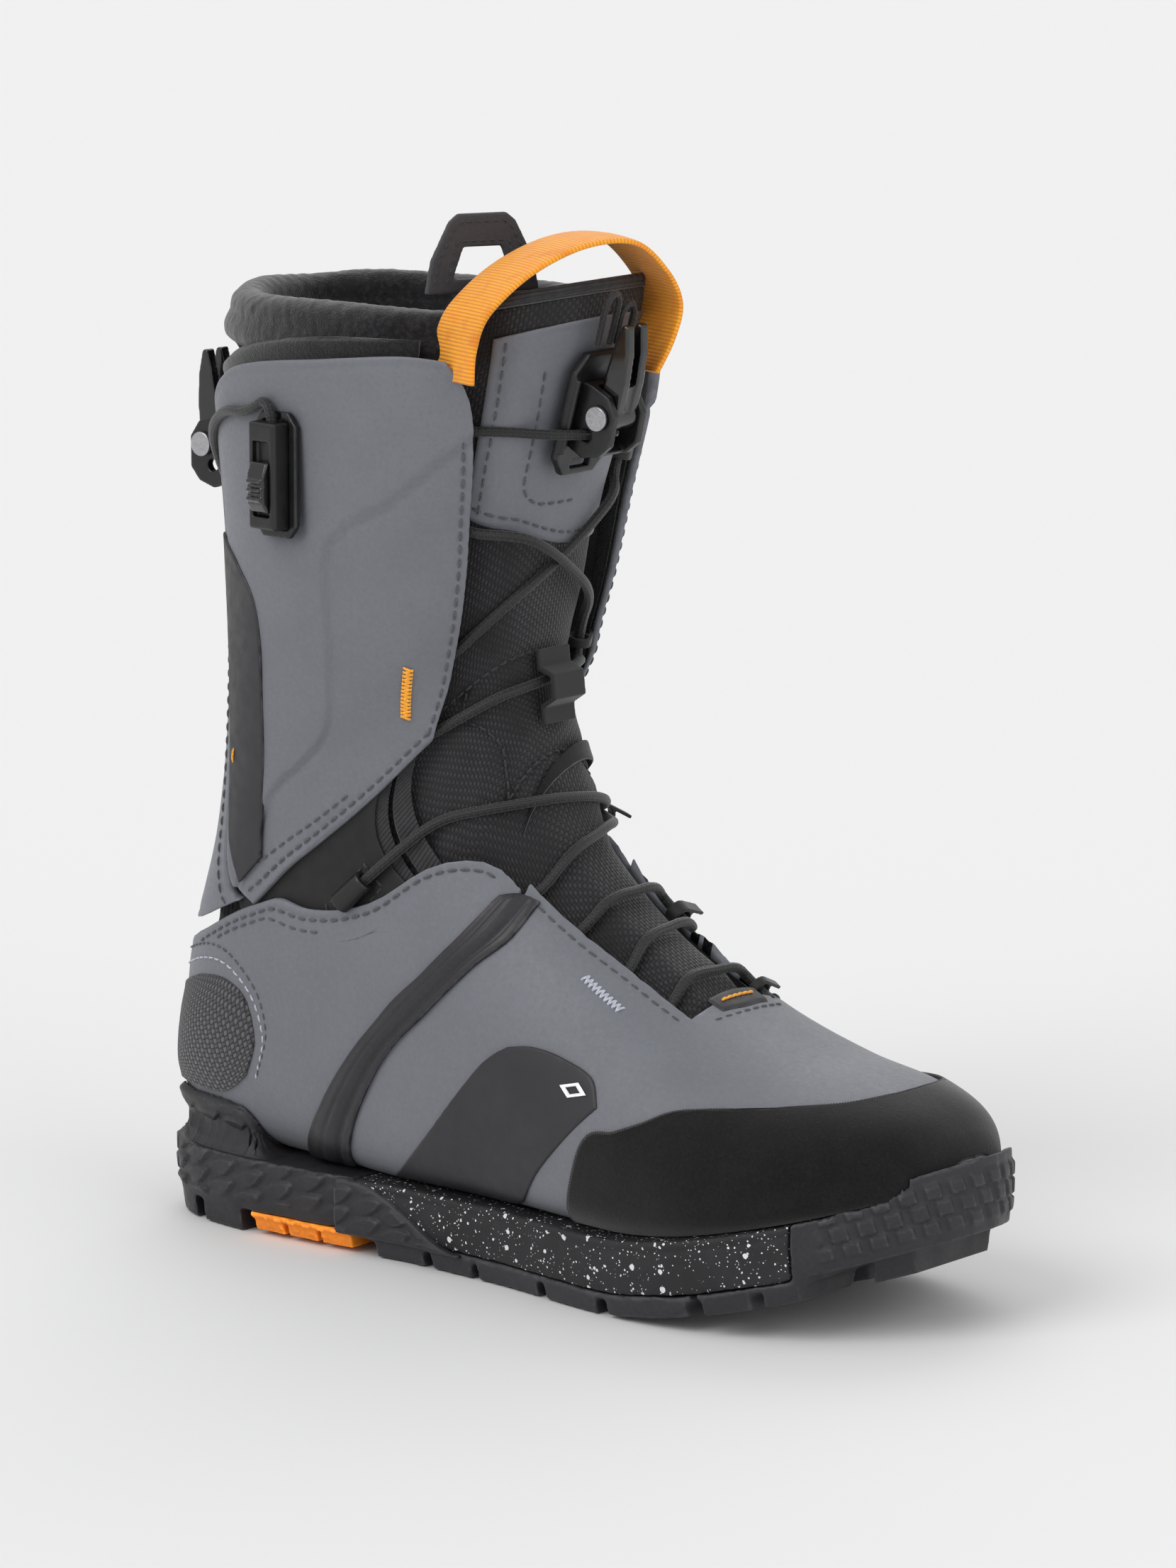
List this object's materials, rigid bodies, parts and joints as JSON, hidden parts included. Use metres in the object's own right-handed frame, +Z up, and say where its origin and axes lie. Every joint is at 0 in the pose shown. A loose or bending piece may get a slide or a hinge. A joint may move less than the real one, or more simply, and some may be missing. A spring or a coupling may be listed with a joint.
{
  "type": "snowboard boot",
  "caption": "Right-foot snowboard boot with split grey outer cuff, padded inner bootie, lace locks with levers, webbing pull loops and a lugged rubber sole.",
  "frame": {"origin": "middle of the boot's length and width, on the floor under the sole", "axes": "+X toward the toe, +Y toward the inner side of the right foot, +Z up"},
  "size_m": [0.3124, 0.1254, 0.3365],
  "materials": {
    "black_rubber": "moulded rubber, matt",
    "midsole_foam": "black foam with pale speckles",
    "orange_rubber": "coloured rubber, matt",
    "board": "stiff board",
    "grey_synthetic": "matt grey synthetic leather",
    "black_suede": "black synthetic suede",
    "black_smooth": "smooth black synthetic leather",
    "black_textile": "black woven textile",
    "lining": "dark padded lining",
    "black_webbing": "black woven webbing",
    "orange_webbing": "orange woven webbing",
    "liner_textile": "black mesh over foam",
    "fleece": "dark fleece",
    "charcoal_tab": "charcoal stitched tab",
    "matte_black_plastic": "matt black plastic",
    "gloss_black_plastic": "gloss black plastic",
    "steel_pin": "dark steel",
    "black_lace": "round braided lace"
  },
  "bodies": {
    "boot": {"ankle_lace_guide": "matte_black_plastic", "ankle_panel_lateral": "black_textile", "ankle_panel_medial": "black_textile", "collar_lining": "lining", "cuff_lateral": "grey_synthetic", "cuff_medial": "grey_synthetic", "flex_band_lateral": "black_rubber", "flex_band_medial": "black_rubber", "footbed": "board", "front_cord_loops": "black_lace", "front_lock_body": "matte_black_plastic", "front_lock_pin": "steel_pin", "front_lock_plate": "matte_black_plastic", "heel_counter": "board", "heel_panel": "black_textile", "heel_quarter_lateral": "grey_synthetic", "heel_quarter_medial": "grey_synthetic", "instep_strap": "black_webbing", "lace_loops_medial": "black_webbing", "lace_lower": "black_lace", "lace_side_tail": "black_lace", "lace_upper": "black_lace", "lasting_board": "board", "liner_collar": "fleece", "liner_pull_tab": "charcoal_tab", "liner_shell": "liner_textile", "liner_tongue": "liner_textile", "midsole": "midsole_foam", "outsole_forefoot": "black_rubber", "outsole_heel": "black_rubber", "outsole_toe": "black_rubber", "print_panel_lateral": "black_smooth", "print_panel_medial": "black_smooth", "pull_strap": "orange_webbing", "rear_lock_body": "matte_black_plastic", "rear_lock_pin": "steel_pin", "rear_lock_plate": "matte_black_plastic", "rear_pull_loop": "black_webbing", "rear_spine": "black_textile", "shank_insert": "orange_rubber", "side_lock_bezel": "matte_black_plastic", "side_lock_body": "matte_black_plastic", "side_patch_lateral": "black_smooth", "side_patch_medial": "black_smooth", "toe_cap": "black_suede", "tongue": "black_textile", "tongue_binding": "black_webbing", "tongue_lace_keeper": "black_webbing", "tongue_top_panel": "grey_synthetic", "vamp_front": "grey_synthetic", "vamp_side_lateral": "grey_synthetic", "vamp_side_medial": "grey_synthetic"},
    "front_lever": {"front_lock_lever": "gloss_black_plastic"},
    "rear_lever": {"rear_lock_lever": "gloss_black_plastic"},
    "side_thumb": {"side_lock_thumb": "gloss_black_plastic"}
  },
  "joints": [
    {"name": "front_lever_hinge", "type": "hinge", "parent": "boot", "child": "front_lever", "pos_m": [0.01588, 0.0017, 0.27369], "axis": [0, 1, 0], "range_deg": [0, 85]},
    {"name": "rear_lever_hinge", "type": "hinge", "parent": "boot", "child": "rear_lever", "pos_m": [-0.14582, 0.0007, 0.25208], "axis": [0, -1, 0], "range_deg": [0, 85]},
    {"name": "side_thumb_slide", "type": "slide", "parent": "boot", "child": "side_thumb", "axis": [0, 0, 1], "range_m": [0, 0.006]}
  ]
}
